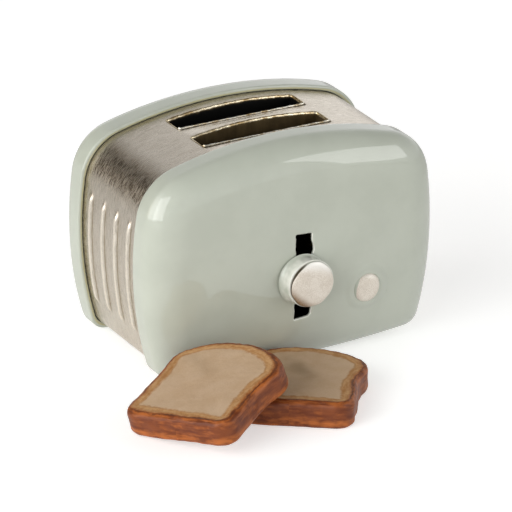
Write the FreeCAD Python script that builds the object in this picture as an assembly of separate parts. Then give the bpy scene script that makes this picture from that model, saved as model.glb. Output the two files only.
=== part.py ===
import FreeCAD, Part
import math
import os

os.makedirs("parts", exist_ok=True)
V = FreeCAD.Vector

# Toy toaster with two toy toast slices. Millimetres.
# Front is -Y, up is +Z, X = 0 is the middle of the toaster, Y = 0 is midway between the two
# covers' rims, and Z = 0 is the table.

# ---------- Outline of the toaster, seen from the front ----------
# Eight arcs that run into each other, the same on the left and on the right.
cover_width = 62.0
cover_height = 45.0
top_arc_radius = 84.7
side_arc_radius = 70.6
side_arc_height = 23.0        # centre of the side arcs above the covers' lowest point
bottom_arc_radius = 267.0
top_corner_radius = 10.3
bottom_corner_radius = 3.2
corner_shrink = 0.9           # share of a corner radius that is gone at the middle of a face
stand_height = 0.2            # the base pan lifts the covers off the table by this much

# ---------- Covers ----------
rim_spacing = 22.0            # from the front cover's rim to the rear cover's rim
cover_sheet = 0.7
lip_depth = 3.1               # straight wall of a cover, measured from its rim
rounding_inward = 6.4         # the rounded edge between wall and face, across the face
rounding_forward = 4.2        # the same edge, along the depth
crown_height = 2.2            # how far the middle of the face bulges
edge_count = 9                # sections that make the rounded edge
crown_count = 4               # sections that make the bulge
flat_middle = 0.2             # share of the face, at its middle, that stays flat

# ---------- Band ----------
seam_gap = 0.35               # between a cover's lip and the band
band_sheet = 0.4
band_overlap = 2.4            # how far the band reaches into each cover
slot_length = 26.8
slot_width = 5.4
slot_pitch = 9.8              # from the middle of one slot to the middle of the other
slots_middle = 0.5            # the pair of slots sits this far behind Y = 0
rib_count = 4
rib_pitch = 5.1
rib_width = 2.2
rib_height = 0.5
rib_length = 22.0
rib_middle_height = 20.4
ribs_middle = 0.35            # the row of ribs sits this far behind Y = 0

# ---------- Bread wells ----------
well_sheet = 0.3
well_bottom_height = 6.0
well_lip = 0.2                # the turned-out edge that hangs in the slot
well_lip_rise = 0.1

# ---------- Base ----------
base_sheet = 0.5
base_length = 51.0
base_overlap = 1.5            # how far the base plate reaches into each cover
pan_length = 42.0
pan_width = 17.0
rivet_radius = 0.7
rivet_head_radius = 1.3
rivet_head_height = 0.5
rivet_spacing_y = 11.0

# ---------- Clips between band and covers ----------
clip_length = 5.0
clip_depth = 1.2
clip_spacing = 30.0

# ---------- Lever ----------
slit_length = 17.5
slit_width = 3.3
lever_height = 18.9           # middle of the slit above the table
bar_width = 2.6
bar_height = 3.0
knob_radius = 4.67
knob_length = 3.9             # from the cover's face to the barrel's end with its cap
knob_flare = 0.7
knob_edge = 0.25
cap_radius = 4.4
cap_edge = 0.5
cap_dome = 0.4
cap_pin_radius = 1.0
cap_pin_length = 0.7
bar_socket = 1.6              # how far the bar goes into the barrel
carriage_length = 21.0
carriage_width = 5.0
carriage_sheet = 0.8
rod_radius = 0.8
rod_spacing = 16.0
rod_setback = 0.85            # middle of a rod behind the base plate's front edge
bush_wall = 0.8
bush_length = 4.5
shelf_length = 25.0
shelf_sheet = 0.6
shelf_cheek = 2.0
spring_width = 3.0
spring_sheet = 0.25
spring_rise = 6.0

# ---------- Button ----------
button_x = 14.3
button_height = 13.7
button_radius = 2.9
button_proud = 0.6            # of the boss
button_thickness = 2.2
boss_radius = 3.9
boss_slope = 0.6
boss_height = 0.3
plunger_radius = 0.9
guide_wall = 0.8
spring_wire = 0.18
coil_turns = 4
clip_radius = 1.7
clip_sheet = 0.4
button_travel = 0.8

# ---------- Toast slices ----------
slice_foot_width = 23.7
slice_head_width = 24.8
slice_height = 26.0
slice_thickness = 4.9
slice_foot_radius = 3.4
slice_ear_radius = 5.3
slice_ear_height = 17.7
slice_waist_radius = 20.0
slice_edge = 0.9
right_slice_place = 23.4      # middle of the flat slice, from the toaster's left side
right_slice_turn = -39.0
left_slice_turn = -62.8
left_slice_distance = 0.9     # of the leaning slice in front of the cover's face
lean_reach = 17.9             # from the leaning slice's low edge to the flat slice

# ---------- Clearances ----------
seat = 0.02                   # between pieces that are pressed, riveted or set together
running = 0.06                # round a guide rod or the button's plunger
sliding = 0.15                # round a piece that slides in a window
free = 0.3                    # where moving pieces pass each other
knob_gap = 0.25               # between the knob and the highest point of the cover
slice_gap = 0.2               # between a slice and what it nearly touches
end_stop = 0.25               # left over at each end of the lever's travel
past = 1.0                    # how far a cutting block reaches beyond what it cuts

# ---------- Sizes that follow ----------
half_height = cover_height / 2
rim_y = -rim_spacing / 2
cover_depth = lip_depth + rounding_forward + crown_height
face_y = rim_y - cover_depth
band_inset = cover_sheet + seam_gap
band_inner = band_inset + band_sheet
base_inner = band_inner + seat + base_sheet
band_end = rim_spacing / 2 + band_overlap
base_width = rim_spacing + 2 * base_overlap
lever_travel = (slit_length - bar_height) / 2 - end_stop
slot_centres = {"front": slots_middle - slot_pitch / 2, "rear": slots_middle + slot_pitch / 2}
well_outer_width = slot_width + 2 * well_sheet
front_well_face = slot_centres["front"] - well_outer_width / 2

top_centre = (0, cover_height - top_arc_radius)
side_centre = (cover_width / 2 - side_arc_radius, side_arc_height)
bottom_centre = (0, bottom_arc_radius)


# ---------- Helpers ----------
def box(x0, x1, y0, y1, z0, z1):
    """Block between two corners."""
    return Part.makeBox(x1 - x0, y1 - y0, z1 - z0, V(x0, y0, z0))


def rod_y(radius, x, z, y0, y1):
    """Round bar along Y."""
    return Part.makeCylinder(radius, y1 - y0, V(x, y0, z), V(0, 1, 0))


def joined(shapes):
    """One solid made of shapes that touch or overlap."""
    return shapes[0].multiFuse(shapes[1:]).removeSplitter()


def write(name, shape):
    """One STEP file for each named piece."""
    shape.exportStep("parts/" + name + ".step")


def touching_centre(centre_a, reach_a, centre_b, reach_b):
    """Centre, on the +X side, that lies at given distances from two other centres."""
    dx, dy = centre_b[0] - centre_a[0], centre_b[1] - centre_a[1]
    gap = math.hypot(dx, dy)
    along = (reach_a**2 - reach_b**2 + gap**2) / (2 * gap)
    aside = math.sqrt(reach_a**2 - along**2)
    x, y = centre_a[0] + dx / gap * along, centre_a[1] + dy / gap * along
    step_x, step_y = dy / gap * aside, dx / gap * aside
    return max((x - step_x, y + step_y), (x + step_x, y - step_y))


def towards(centre, point, distance):
    """Point at a distance from a centre, in the direction of another point."""
    gap = math.dist(centre, point)
    return tuple(c + (p - c) / gap * distance for c, p in zip(centre, point))


def arc_middle(centre, start, end):
    """Middle of the short arc about a centre between two of its points."""
    halfway = ((start[0] + end[0]) / 2, (start[1] + end[1]) / 2)
    return towards(centre, halfway, math.dist(centre, start))


def mirrored(points):
    """The same points on the -X side, in reverse order."""
    return [(-x, z) for x, z in reversed(points)]


def arcs_through(points):
    """Arcs end to end: each takes two new points, its middle and its end."""
    starts = range(0, len(points) - 2, 2)
    return [Part.Arc(points[i], points[i + 1], points[i + 2]).toShape() for i in starts]


# ---------- Outline, blocks and rings ----------
def outline_points(inset):
    """Start, middle and end points of the eight arcs, pulled inward: (x, z) above the covers' foot."""
    top, side, bottom = top_arc_radius - inset, side_arc_radius - inset, bottom_arc_radius - inset
    shrink = 1 - corner_shrink * inset / half_height
    upper_radius, lower_radius = top_corner_radius * shrink, bottom_corner_radius * shrink
    upper = touching_centre(top_centre, top - upper_radius, side_centre, side - upper_radius)
    lower = touching_centre(side_centre, side - lower_radius, bottom_centre, bottom - lower_radius)
    a = towards(top_centre, upper, top)
    b = towards(side_centre, upper, side)
    c = towards(side_centre, lower, side)
    d = towards(bottom_centre, lower, bottom)
    right = [a, arc_middle(upper, a, b), b, arc_middle(side_centre, b, c), c]
    right += [arc_middle(lower, c, d), d]
    return [(0, cover_height - inset)] + right + [(0, inset)] + mirrored(right)


def outline_wire(inset, y):
    """Closed outline at one depth."""
    points = [V(x, y, z + stand_height) for x, z in outline_points(inset)]
    return Part.Wire(arcs_through(points[-1:] + points))


def block(inset, y0, y1):
    """Solid with the toaster's outline between two depths."""
    return Part.Face(outline_wire(inset, y0)).extrude(V(0, y1 - y0, 0))


def ring_sheet(outer_inset, inner_inset, y0, y1):
    """Sheet wrapped round the outline."""
    return block(outer_inset, y0, y1).cut(block(inner_inset, y0 - past, y1 + past))


def crown_at(inset):
    """How far the bulge has risen at an inset from the edge of the face."""
    return crown_height * (1 - (1 - inset / half_height) ** 2)


def surface_y(x, z):
    """Depth of the front cover's face above a point of the front view, z measured from the table."""
    height = z - stand_height
    inset = min(
        top_arc_radius - math.dist(top_centre, (x, height)),
        side_arc_radius - math.dist(side_centre, (abs(x), height)),
        bottom_arc_radius - math.dist(bottom_centre, (x, height)),
    )
    edge = max(0, 1 - inset / rounding_inward)
    return rim_y - lip_depth - rounding_forward * math.sqrt(1 - edge**2) - crown_at(inset)


def bottom_z(inset, x):
    """Height of the bottom arc above the table."""
    return stand_height + bottom_arc_radius - math.sqrt((bottom_arc_radius - inset) ** 2 - x**2)


def top_z(inset, x):
    """Height of the top arc above the table."""
    rise = math.sqrt((top_arc_radius - inset) ** 2 - x**2)
    return stand_height + cover_height - top_arc_radius + rise


# ---------- Covers ----------
def cover_block(wall):
    """Solid of a front cover's outside (wall 0), or of the space inside it (wall = its sheet)."""
    inward, forward = rounding_inward - wall, rounding_forward - wall
    sections = []
    for step in range(edge_count + 1):
        turn = math.pi / 2 * step / edge_count
        sections.append((wall + inward * (1 - math.cos(turn)), lip_depth + forward * math.sin(turn)))
    crown_width = (1 - flat_middle) * half_height - rounding_inward
    for step in range(1, crown_count + 1):
        inset = rounding_inward + crown_width * step / crown_count
        sections.append((inset, lip_depth + forward))
    wires = [outline_wire(inset, rim_y - depth - crown_at(inset)) for inset, depth in sections]
    lip = block(wall, rim_y - lip_depth - crown_at(wall), rim_y + wall)
    return joined([Part.makeLoft(wires, True, True), lip])


cover_outside = cover_block(0)
cover_inside = cover_block(cover_sheet)
cover_shell = cover_outside.cut(cover_inside)

button_face = surface_y(button_x, button_height)
boss_face = button_face - boss_height
button_hole = button_radius + running
slit_cut = box(-slit_width / 2, slit_width / 2, face_y - past, rim_y - lip_depth,
               lever_height - slit_length / 2, lever_height + slit_length / 2)
boss = Part.makeCone(boss_radius + boss_slope, boss_radius, boss_height + cover_sheet / 2,
                     V(button_x, button_face + cover_sheet / 2, button_height), V(0, -1, 0))
button_opening = rod_y(button_hole, button_x, button_height, face_y - past, rim_y - lip_depth)
front_cover = joined([cover_shell, boss.cut(cover_inside)]).cut(slit_cut).cut(button_opening)
write("front_cover", front_cover)
write("rear_cover", cover_shell.mirror(V(0, 0, 0), V(0, 1, 0)))


# ---------- Band with its ribs and slots ----------
def rib(width, inset, y):
    """Curved ridge on the right side: a circle segment swept round the side arc's centre."""
    radius = side_arc_radius - inset
    middle = V(radius, 0, 0)
    chord = [middle + V(0, -width / 2, 0), middle + V(0, width / 2, 0)]
    bow = Part.Arc(chord[0], middle + V(rib_height, 0, 0), chord[1]).toShape()
    face = Part.Face(Part.Wire([bow, Part.LineSegment(chord[1], chord[0]).toShape()]))
    low = math.asin((rib_middle_height - rib_length / 2 - stand_height - side_arc_height) / radius)
    high = math.asin((rib_middle_height + rib_length / 2 - stand_height - side_arc_height) / radius)
    ridge = face.revolve(V(0, 0, 0), V(0, -1, 0), math.degrees(high - low))
    ridge.rotate(V(0, 0, 0), V(0, -1, 0), math.degrees(low))
    ridge.translate(V(side_centre[0], y, side_centre[1] + stand_height))
    return ridge


def slot_block(name, margin, z0):
    """Straight block through one toast slot, wider than the slot by a margin on every side."""
    half_length, half_width = slot_length / 2 + margin, slot_width / 2 + margin
    y = slot_centres[name]
    return box(-half_length, half_length, y - half_width, y + half_width, z0, cover_height + stand_height)


band = ring_sheet(band_inset, band_inner, -band_end, band_end)
for number in range(rib_count):
    rib_y = ribs_middle + rib_pitch * (number - (rib_count - 1) / 2)
    ridge = rib(rib_width, band_inset + seat, rib_y)
    groove = rib(rib_width - 2 * band_sheet, band_inner + seat, rib_y)
    for side in (1, -1):
        outer, inner = ridge.copy(), groove.copy()
        if side < 0:
            outer = outer.mirror(V(0, 0, 0), V(1, 0, 0))
            inner = inner.mirror(V(0, 0, 0), V(1, 0, 0))
        band = band.fuse(outer).cut(inner)
for name in slot_centres:
    band = band.cut(slot_block(name, well_sheet + seat, half_height))
window_x, window_y = pan_length / 2 + free, pan_width / 2 + free
band = band.cut(box(-window_x, window_x, -window_y, window_y, 0, half_height / 2))


# ---------- Base plate and its rivets ----------
def rivet():
    """Rivet through band and base plate at the bottom arc's lowest point, head below."""
    outside, inside = bottom_z(band_inset, 0) - seat, bottom_z(base_inner, 0) + seat
    shank = Part.makeCylinder(rivet_radius, inside - outside, V(0, 0, outside))
    head_foot = V(0, 0, outside - rivet_head_height)
    head = Part.makeCone(rivet_radius, rivet_head_radius, rivet_head_height, head_foot)
    tail = Part.makeCylinder(rivet_head_radius, rivet_head_height, V(0, 0, inside))
    return joined([head, shank, tail])


def rivet_places(shape):
    """The four copies of a shape that stands at the bottom arc's lowest point."""
    turn = math.degrees(math.asin((pan_length / 2 + base_length / 2) / 2 / bottom_arc_radius))
    places = []
    for angle in (-turn, turn):
        for y in (-rivet_spacing_y / 2, rivet_spacing_y / 2):
            copy = shape.copy()
            copy.translate(V(0, y, 0))
            copy.rotate(V(0, 0, bottom_arc_radius + stand_height), V(0, 1, 0), angle)
            places.append(copy)
    return places


flange = ring_sheet(band_inner + seat, base_inner, -base_width / 2, base_width / 2)
flange = flange.common(box(-base_length / 2, base_length / 2, -base_width, base_width, 0, half_height / 2))
pan_top = bottom_z(base_inner, pan_length / 2)
pan = box(-pan_length / 2, pan_length / 2, -pan_width / 2, pan_width / 2, 0, pan_top)
hollow = box(-pan_length / 2 + base_sheet, pan_length / 2 - base_sheet,
             -pan_width / 2 + base_sheet, pan_width / 2 - base_sheet, base_sheet, half_height / 2)
rivet_hole = Part.makeCylinder(rivet_radius + seat, half_height / 2)
base_plate = joined([flange, pan]).cut(hollow)
for hole in rivet_places(rivet_hole):
    base_plate = base_plate.cut(hole)
    band = band.cut(hole)
write("body_band", band)
write("base_plate", base_plate)
write("base_rivets", Part.Compound(rivet_places(rivet())))


# ---------- Clips between band and covers ----------
def cover_clips():
    """Six short strips in the seam between the front cover's lip and the band."""
    inside_lip = rim_y - (band_overlap + clip_depth) / 2
    seam = ring_sheet(cover_sheet + seat, band_inset - seat, inside_lip, inside_lip + clip_depth)
    reach, half_clip = cover_width, clip_length / 2
    strips = []
    for x in (-clip_spacing / 2, clip_spacing / 2):
        for z0, z1 in ((-reach, half_height), (half_height, reach)):
            strips.append(box(x - half_clip, x + half_clip, -reach, reach, z0, z1))
    for x0, x1 in ((-reach, 0), (0, reach)):
        strips.append(box(x0, x1, -reach, reach, half_height - half_clip, half_height + half_clip))
    return Part.Compound([seam.common(strip) for strip in strips])


clips = cover_clips()
write("front_cover_clips", clips)
write("rear_cover_clips", clips.mirror(V(0, 0, 0), V(0, 1, 0)))


# ---------- Bread wells ----------
def bread_well(name, window_walls):
    """Sheet well that hangs in its slot by a turned-out lip; the bar has a window in some walls."""
    outer, inner = slot_block(name, well_sheet, well_bottom_height), slot_block(name, 0, 0)
    tube = outer.common(block(band_inset - well_lip_rise, -band_end, band_end))
    lip = ring_sheet(band_inset - well_lip_rise, band_inset - seat, -band_end, band_end)
    lip = lip.common(slot_block(name, well_sheet + well_lip, half_height))
    well = joined([tube, lip]).cut(inner)
    half_window = bar_width / 2 + free
    window_top = lever_height + lever_travel + bar_height / 2 + free
    for wall in window_walls:
        y = slot_centres[name] + wall * (slot_width + well_sheet) / 2
        well = well.cut(box(-half_window, half_window, y - well_sheet, y + well_sheet, 0, window_top))
    return well


write("front_bread_well", bread_well("front", (-1, 1)))
write("rear_bread_well", bread_well("rear", (-1,)))

# ---------- Lever: knob, cap, bar ----------
knob_foot = face_y - knob_gap
knob_end = face_y - knob_length + cap_edge + cap_dome
flare_centre = V(knob_radius + knob_flare, knob_foot - knob_edge - knob_flare, 0)
slope = math.sqrt(0.5)


def turned(points_and_arcs):
    """Solid turned about Y from a closed profile of points; a pair is an arc's middle and end."""
    edges, last = [], points_and_arcs[0]
    for item in points_and_arcs[1:] + [points_and_arcs[0]]:
        if isinstance(item, tuple):
            edges.append(Part.Arc(last, item[0], item[1]).toShape())
            last = item[1]
        else:
            edges.append(Part.LineSegment(last, item).toShape())
            last = item
    return Part.Face(Part.Wire(edges)).revolve(V(0, 0, 0), V(0, 1, 0), 360)


barrel = turned([
    V(0, knob_foot, 0),
    V(knob_radius + knob_flare, knob_foot, 0),
    V(knob_radius + knob_flare, knob_foot - knob_edge, 0),
    (flare_centre + V(-knob_flare * slope, knob_flare * slope, 0), flare_centre + V(-knob_flare, 0, 0)),
    V(knob_radius, knob_end + knob_edge, 0),
    (V(knob_radius - knob_edge * (1 - slope), knob_end + knob_edge * (1 - slope), 0),
     V(knob_radius - knob_edge, knob_end, 0)),
    V(0, knob_end, 0),
])
barrel.translate(V(0, 0, lever_height))
bar_y0 = knob_foot - bar_socket
bar_y1 = slot_centres["rear"] + slot_width / 2 - free
bar_low, bar_high = lever_height - bar_height / 2, lever_height + bar_height / 2
half_bar = bar_width / 2
bar = box(-half_bar, half_bar, bar_y0, bar_y1, bar_low, bar_high)
socket = box(-half_bar - seat, half_bar + seat, bar_y0 - seat, bar_y1, bar_low - seat, bar_high + seat)
pin_hole = rod_y(cap_pin_radius + seat, 0, lever_height, knob_end - past, knob_end + cap_pin_length)
write("lever_knob", barrel.cut(socket).cut(pin_hole))
write("lever_bar", bar)

cap_back = knob_end - seat
cap_bevel = cap_edge / 2
dome_rim = cap_radius - cap_bevel
dome_sphere = (dome_rim**2 + cap_dome**2) / (2 * cap_dome)
dome_top = cap_back - cap_edge - cap_dome
dome_halfway = dome_top + dome_sphere - math.sqrt(dome_sphere**2 - (dome_rim / 2) ** 2)
cap = turned([
    V(0, cap_back, 0),
    V(cap_radius, cap_back, 0),
    V(cap_radius, cap_back - cap_bevel, 0),
    (V(cap_radius - cap_bevel * (1 - slope), cap_back - cap_bevel * (1 + slope), 0),
     V(dome_rim, cap_back - cap_edge, 0)),
    (V(dome_rim / 2, dome_halfway, 0), V(0, dome_top, 0)),
])
cap.translate(V(0, 0, lever_height))
cap_pin = rod_y(cap_pin_radius, 0, lever_height, cap_back - cap_edge / 2, cap_back + cap_pin_length)
write("lever_knob_cap", joined([cap, cap_pin]))

# ---------- Lever: carriage, bushes, rods, leaf spring, shelves ----------
carriage_y = rod_setback - base_width / 2
carriage_z = bar_high + seat
bush_radius = rod_radius + running + bush_wall
carriage = box(-carriage_length / 2, carriage_length / 2, carriage_y - carriage_width / 2,
               carriage_y + carriage_width / 2, carriage_z, carriage_z + carriage_sheet)
bushes = []
for side, label in ((-1, "left"), (1, "right")):
    x = side * rod_spacing / 2
    far_side = rod_spacing / 2 + rod_radius
    foot, head = bottom_z(base_inner, far_side) + seat, top_z(band_inner, far_side) - seat
    write("guide_rod_" + label, Part.makeCylinder(rod_radius, head - foot, V(x, carriage_y, foot)))
    middle = carriage_z + carriage_sheet / 2
    foot_of_bush = V(x, carriage_y, middle - bush_length / 2)
    collar_foot = V(x, carriage_y, carriage_z + carriage_sheet + seat)
    carriage = carriage.cut(Part.makeCylinder(bush_radius + seat, bush_length, foot_of_bush))
    tube = Part.makeCylinder(bush_radius, bush_length, foot_of_bush)
    collar = Part.makeCylinder(bush_radius + bush_wall, carriage_sheet, collar_foot)
    bore = Part.makeCylinder(rod_radius + running, bush_length, foot_of_bush)
    bushes.append(joined([tube, collar]).cut(bore))
write("carriage_plate", carriage)
write("guide_bushes", Part.Compound(bushes))

leaf_z = carriage_z + carriage_sheet + seat
leaf_back = carriage_y + carriage_width / 2
leaf_tip = front_well_face - sliding
leaf_profile = [
    (carriage_y, leaf_z),
    (leaf_back, leaf_z),
    (leaf_tip, leaf_z + spring_rise),
    (leaf_tip - spring_sheet, leaf_z + spring_rise),
    (leaf_back - spring_sheet, leaf_z + spring_sheet),
    (carriage_y, leaf_z + spring_sheet),
]
leaf_x = -(half_bar + rod_spacing / 2 - bush_radius - bush_wall) / 2
leaf_points = [V(leaf_x - spring_width / 2, y, z) for y, z in leaf_profile]
leaf_face = Part.Face(Part.makePolygon(leaf_points + leaf_points[:1]))
write("drag_spring", leaf_face.extrude(V(spring_width, 0, 0)))


def bread_shelf(name):
    """Shelf that sits on the bar inside a well, with two cheeks that hug the bar."""
    y, half_width = slot_centres[name], slot_width / 2 - free
    y0, y1 = y - half_width, y + half_width
    shelf_z = bar_high + seat
    plate = box(-shelf_length / 2, shelf_length / 2, y0, y1, shelf_z, shelf_z + shelf_sheet)
    inside = half_bar + seat
    outside = inside + shelf_sheet
    saddle = box(-outside, outside, y0, y1, shelf_z - shelf_cheek, shelf_z)
    gap = box(-inside, inside, y0 - past, y1 + past, bar_low, shelf_z)
    return joined([plate, saddle.cut(gap)])


for name in slot_centres:
    write(name + "_bread_shelf", bread_shelf(name))

# ---------- Button, guide, spring and clip ----------
button_front = boss_face - button_proud
button_back = button_front + button_thickness
coil_room = 2 * spring_wire * coil_turns + button_travel
guide_back = button_back + 2 * seat + coil_room + guide_wall
guide_outer = button_hole + guide_wall
plunger_end = guide_back + 2 * seat + clip_sheet
disc = rod_y(button_radius, button_x, button_height, button_front, button_back)
rim = [edge for edge in disc.Edges if edge.BoundBox.YMax < button_front + seat]
disc = disc.makeFillet(button_proud / 2, rim)
plunger = rod_y(plunger_radius, button_x, button_height, button_back - seat, plunger_end)
write("button_cap", joined([disc, plunger]))

guide = rod_y(guide_outer, button_x, button_height, face_y, guide_back)
guide = guide.common(cover_block(cover_sheet + seat))
chamber = rod_y(button_hole, button_x, button_height, face_y - past, guide_back - guide_wall)
bore = rod_y(plunger_radius + running, button_x, button_height, face_y, guide_back + past)
write("button_guide", guide.cut(chamber).cut(bore))

clip = rod_y(clip_radius, button_x, button_height, guide_back + seat, guide_back + seat + clip_sheet)
write("button_clip", clip.cut(rod_y(plunger_radius + seat, button_x, button_height, face_y, 0)))

coil_pitch = (coil_room - 2 * spring_wire) / coil_turns
coil_radius = (button_radius + plunger_radius) / 2
helix = Part.makeHelix(coil_pitch, coil_pitch * coil_turns, coil_radius)
section = Part.Wire(Part.Circle(V(coil_radius, 0, 0), V(0, 1, 0), spring_wire).toShape())
coil = Part.Wire(helix.Edges).makePipeShell([section], True, True)
coil.rotate(V(0, 0, 0), V(1, 0, 0), -90)
coil.translate(V(button_x, button_back + seat + spring_wire, button_height))
write("button_spring", coil)


# ---------- Toast slices ----------
def slice_solid():
    """Bread-shaped slice lying flat, centred on X and Y, its underside at Z = 0."""
    foot = (slice_foot_width / 2 - slice_foot_radius, slice_foot_radius)
    ear = (slice_head_width / 2 - slice_ear_radius, slice_ear_height)
    foot_reach, ear_reach = slice_foot_radius + slice_waist_radius, slice_ear_radius + slice_waist_radius
    waist = touching_centre(foot, foot_reach, ear, ear_reach)
    rise = slice_height - slice_ear_height
    top_radius = (ear[0] ** 2 + rise**2 - slice_ear_radius**2) / (2 * (rise - slice_ear_radius))
    top = (0, slice_height - top_radius)
    a = (foot[0], 0)
    b = towards(foot, waist, slice_foot_radius)
    c = towards(ear, waist, slice_ear_radius)
    d = towards(top, ear, top_radius)
    right = [a, arc_middle(foot, a, b), b, arc_middle(waist, b, c), c, arc_middle(ear, c, d), d]
    points = [V(x, y - slice_height / 2, 0) for x, y in right + [(0, slice_height)] + mirrored(right)]
    base_edge = Part.LineSegment(points[-1], points[0]).toShape()
    solid = Part.Face(Part.Wire(arcs_through(points) + [base_edge])).extrude(V(0, 0, slice_thickness))
    rims = [edge for edge in solid.Edges if abs(edge.BoundBox.ZMax - edge.BoundBox.ZMin) < seat]
    return solid.makeFillet(slice_edge, rims)


right_slice = slice_solid()
right_slice.rotate(V(0, 0, 0), V(0, 0, 1), right_slice_turn)
right_back = surface_y(0, slice_thickness) - slice_gap
right_shift = right_back - right_slice.optimalBoundingBox().YMax
right_slice.translate(V(right_slice_place - cover_width / 2, right_shift, 0))
write("bread_slice_right", right_slice)

left_slice = slice_solid()
left_slice.rotate(V(0, 0, 0), V(0, 0, 1), left_slice_turn)
low_edge = right_slice.optimalBoundingBox().XMin - lean_reach
lean = math.degrees(math.atan2(slice_thickness + slice_gap, lean_reach))
left_back = face_y - left_slice_distance
left_box = left_slice.optimalBoundingBox()
left_slice.translate(V(low_edge - left_box.XMin, left_back - left_box.YMax, slice_gap / 2))
left_slice.rotate(V(low_edge, 0, slice_gap / 2), V(0, 1, 0), -lean)
write("bread_slice_left", left_slice)
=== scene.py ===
import math

import bmesh
import bpy
import numpy as np
from mathutils import Matrix, Vector


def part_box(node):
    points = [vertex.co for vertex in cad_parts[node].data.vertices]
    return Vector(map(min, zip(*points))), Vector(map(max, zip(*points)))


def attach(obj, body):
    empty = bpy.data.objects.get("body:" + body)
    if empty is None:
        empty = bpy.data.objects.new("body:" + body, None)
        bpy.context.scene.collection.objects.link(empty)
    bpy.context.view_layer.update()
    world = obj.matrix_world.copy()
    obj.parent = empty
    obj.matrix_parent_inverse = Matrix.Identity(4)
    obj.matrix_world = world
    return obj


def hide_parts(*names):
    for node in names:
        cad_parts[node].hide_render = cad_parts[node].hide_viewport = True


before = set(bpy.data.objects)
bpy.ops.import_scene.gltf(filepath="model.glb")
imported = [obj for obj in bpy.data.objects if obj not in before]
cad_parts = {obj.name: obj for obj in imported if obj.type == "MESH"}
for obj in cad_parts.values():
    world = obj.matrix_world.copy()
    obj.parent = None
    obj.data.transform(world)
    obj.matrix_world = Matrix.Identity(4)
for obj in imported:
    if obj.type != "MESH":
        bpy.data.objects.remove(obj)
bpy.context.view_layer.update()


# ======== Base plate and rivets ========
# A zinc-plated pan that closes the toaster from below and is its foot. Its curved flange lies
# inside the band and is held by four rivets.

class Tone:
    """A value in a material. Arithmetic between values, or with numbers, adds Math nodes."""

    def __init__(self, tree, socket=None):
        self.tree, self.socket = tree, socket

    def node(self, kind, settings=(), sockets=(), out=0):
        """Adds a node: first its settings, then numbers or links for its sockets. Returns one output."""
        made = self.tree.nodes.new("ShaderNode" + kind)
        for key, value in dict(settings).items():
            setattr(made, key, value)
        for key, value in dict(sockets).items():
            if isinstance(value, Tone):
                self.tree.links.new(value.socket, made.inputs[key])
            else:
                made.inputs[key].default_value = value
        return Tone(self.tree, made.outputs[out]) if made.outputs else None

    def maths(self, operation, *values):
        return self.node("Math", {"operation": operation}, enumerate(values))

    def __add__(self, other):
        return self.maths("ADD", self, other)

    def __sub__(self, other):
        return self.maths("SUBTRACT", self, other)

    def __rsub__(self, other):
        return self.maths("SUBTRACT", other, self)

    def __mul__(self, other):
        return self.maths("MULTIPLY", self, other)

    def __truediv__(self, other):
        return self.maths("DIVIDE", self, other)

    __radd__, __rmul__ = __add__, __mul__


def paint(red, green, blue):
    """A colour from a paint chart (0 to 255) as the shaders take it."""
    chart = np.array([red, green, blue]) / 255
    linear = np.where(chart > 0.04045, ((chart + 0.055) / 1.055) ** 2.4, chart / 12.92)
    return (*linear.tolist(), 1.0)


def new_finish(name):
    """An empty material, its tree as a Tone, and its Object coordinates in millimetres."""
    material = bpy.data.materials.new(name)
    material.use_nodes = True
    material.node_tree.nodes.clear()
    bare = Tone(material.node_tree)
    metres = bare.node("TexCoord", out="Object")
    return material, bare, stretched(metres, 0.001, 0.001, 0.001)


def stretched(where, x, y, z):
    """Coordinates divided by a length along each axis."""
    return where.node("Mapping", (), {"Vector": where, "Scale": (1 / x, 1 / y, 1 / z)})


def cloud(where, patch, detail=3.0, rough=0.55, seed=0.0):
    """Soft noise, 0 to 1 about 0.5, in patches of this size."""
    levels = {"Vector": where, "W": seed, "Scale": 1 / patch, "Detail": detail, "Roughness": rough}
    return where.node("TexNoise", {"noise_dimensions": "4D"}, levels)


def between(value, low, high, start=0.0, end=1.0):
    """Eased step: start below low, end above high."""
    levels = {0: value, 1: low, 2: high, 3: start, 4: end}
    return value.node("MapRange", {"interpolation_type": "SMOOTHSTEP"}, levels)


def blended(share, first, second):
    """Colour that goes from first to second as share goes from 0 to 1."""
    return share.node("Mix", {"data_type": "RGBA"}, {0: share, 6: first, 7: second}, out=2)


def raised(height, distance, onto=None):
    """Bump from a height of 0 to 1, distance in millimetres high, on top of another bump."""
    sockets = {"Height": height, "Distance": distance / 1000, "Strength": 1.0}
    if onto:
        sockets["Normal"] = onto
    return height.node("Bump", (), sockets)


def done(bare, **sockets):
    """Closes a material with one Principled shader."""
    named = {key.replace("_", " "): value for key, value in sockets.items()}
    shader = bare.node("BsdfPrincipled", (), named)
    bare.node("OutputMaterial", (), {"Surface": shader})


def metal(name, colour, dark, roughness, grain):
    """Plain metal stock: drawn lines along X, blotches of tarnish, fine pits."""
    material, bare, where = new_finish(name)
    lines = cloud(stretched(where, 6, grain, grain), 1.0, 4)
    blotch = cloud(where, 2.2, 4)
    tarnish = between(blotch * 0.7 + lines * 0.3, 0.42, 0.68)
    bump = raised(lines, 0.01)
    done(bare, Base_Color=blended(tarnish, dark, colour), Metallic=1.0,
         Roughness=roughness + 0.25 * (1 - tarnish), Normal=bump)
    return material


def wear_finish(material, *nodes):
    """Gives CAD nodes a finish."""
    for node in nodes:
        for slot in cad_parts[node].material_slots:
            slot.material = material


plain_steel = metal("plain_steel", paint(168, 166, 160), paint(112, 108, 100), 0.34, 0.12)
wear_finish(plain_steel, "base_plate", "base_rivets")


# ======== Band ========
# A strip of brushed steel wrapped round the outline and tucked into both covers. It has four
# pressed ribs on each side, two long openings above and a window for the base pan below.

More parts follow.
